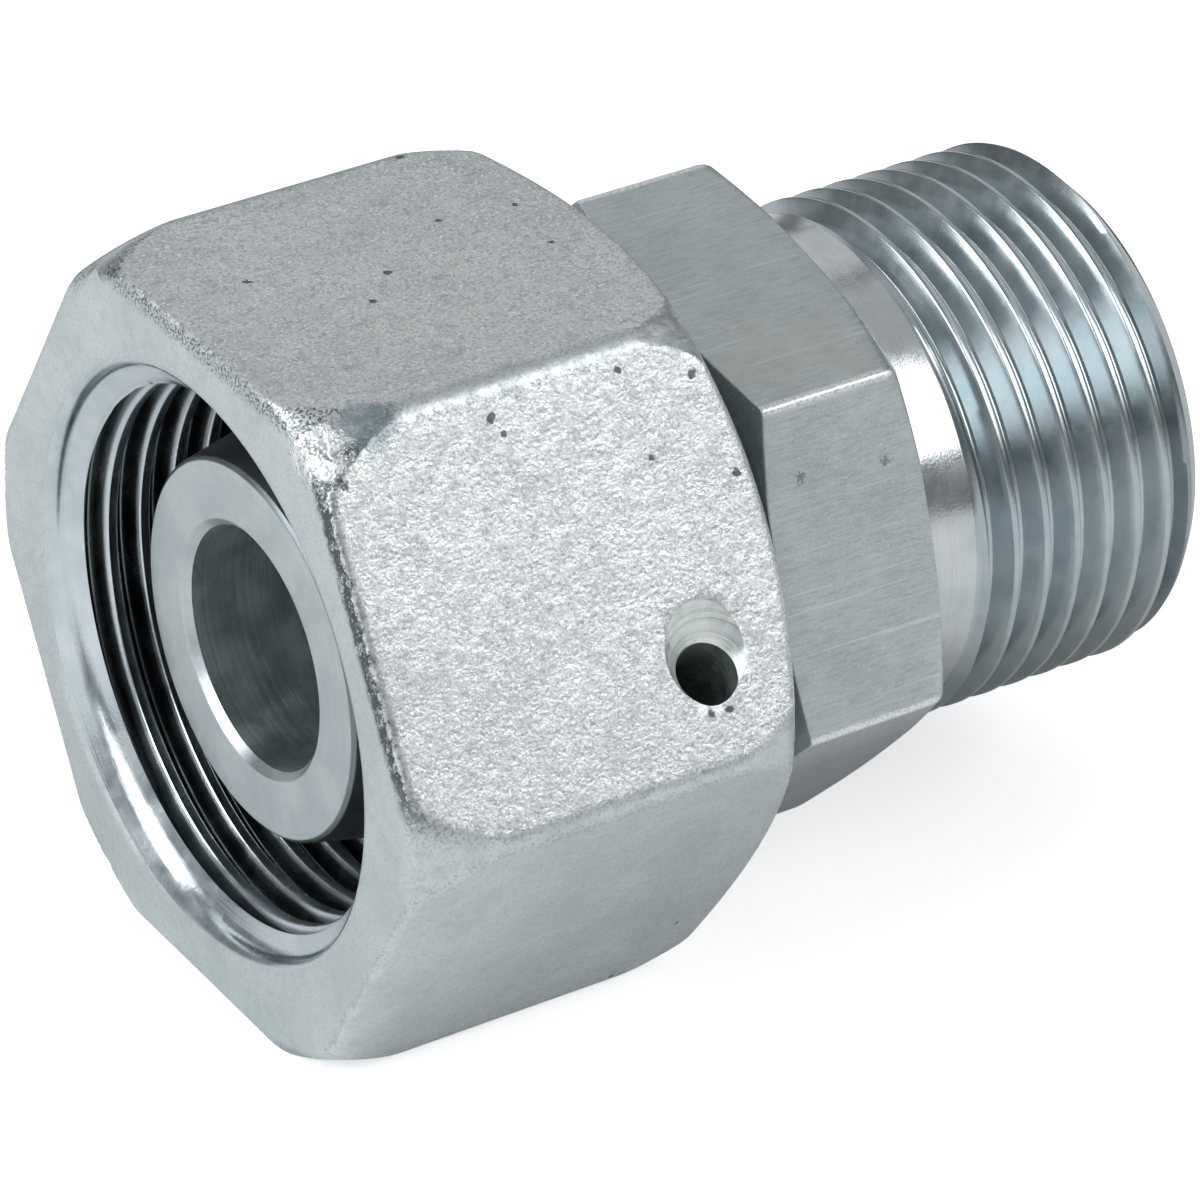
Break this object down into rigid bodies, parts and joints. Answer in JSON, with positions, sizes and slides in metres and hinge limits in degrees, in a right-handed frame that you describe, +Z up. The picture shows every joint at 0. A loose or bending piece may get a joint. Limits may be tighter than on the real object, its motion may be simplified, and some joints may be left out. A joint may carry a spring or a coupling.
{
  "type": "reducer fitting",
  "caption": "Zinc-plated steel tube reducer with a wire-held swivel nut over a sealed cone nose, a spanner hexagon and a threaded stud with a tube socket.",
  "frame": {"origin": "on the fitting's axis, at the stop in the tube socket of the stud end", "axes": "+X along the axis, out of the threaded stud; +Z up, with the swivel nut lying on one of its flats; the nut's mouth faces -X and the wire's feed hole is on the flat that faces -Y and up"},
  "size_m": [0.0412, 0.0344, 0.03],
  "materials": {
    "nut_zinc": "forged steel, zinc plated, satin with a fine grain",
    "body_zinc": "turned steel, zinc plated, satin with fine marks along the hexagon",
    "wire_steel": "drawn wire, satin",
    "ring_rubber": "matt black"
  },
  "bodies": {
    "fitting": {"fitting_body": "body_zinc", "o_ring": "ring_rubber"},
    "nut": {"swivel_nut": "nut_zinc", "retaining_wire": "wire_steel"}
  },
  "joints": [
    {"name": "nut_swivel", "type": "hinge", "parent": "fitting", "child": "nut", "pos_m": [-0.01852, 0, 0], "axis": [1, 0, 0], "continuous": true}
  ]
}
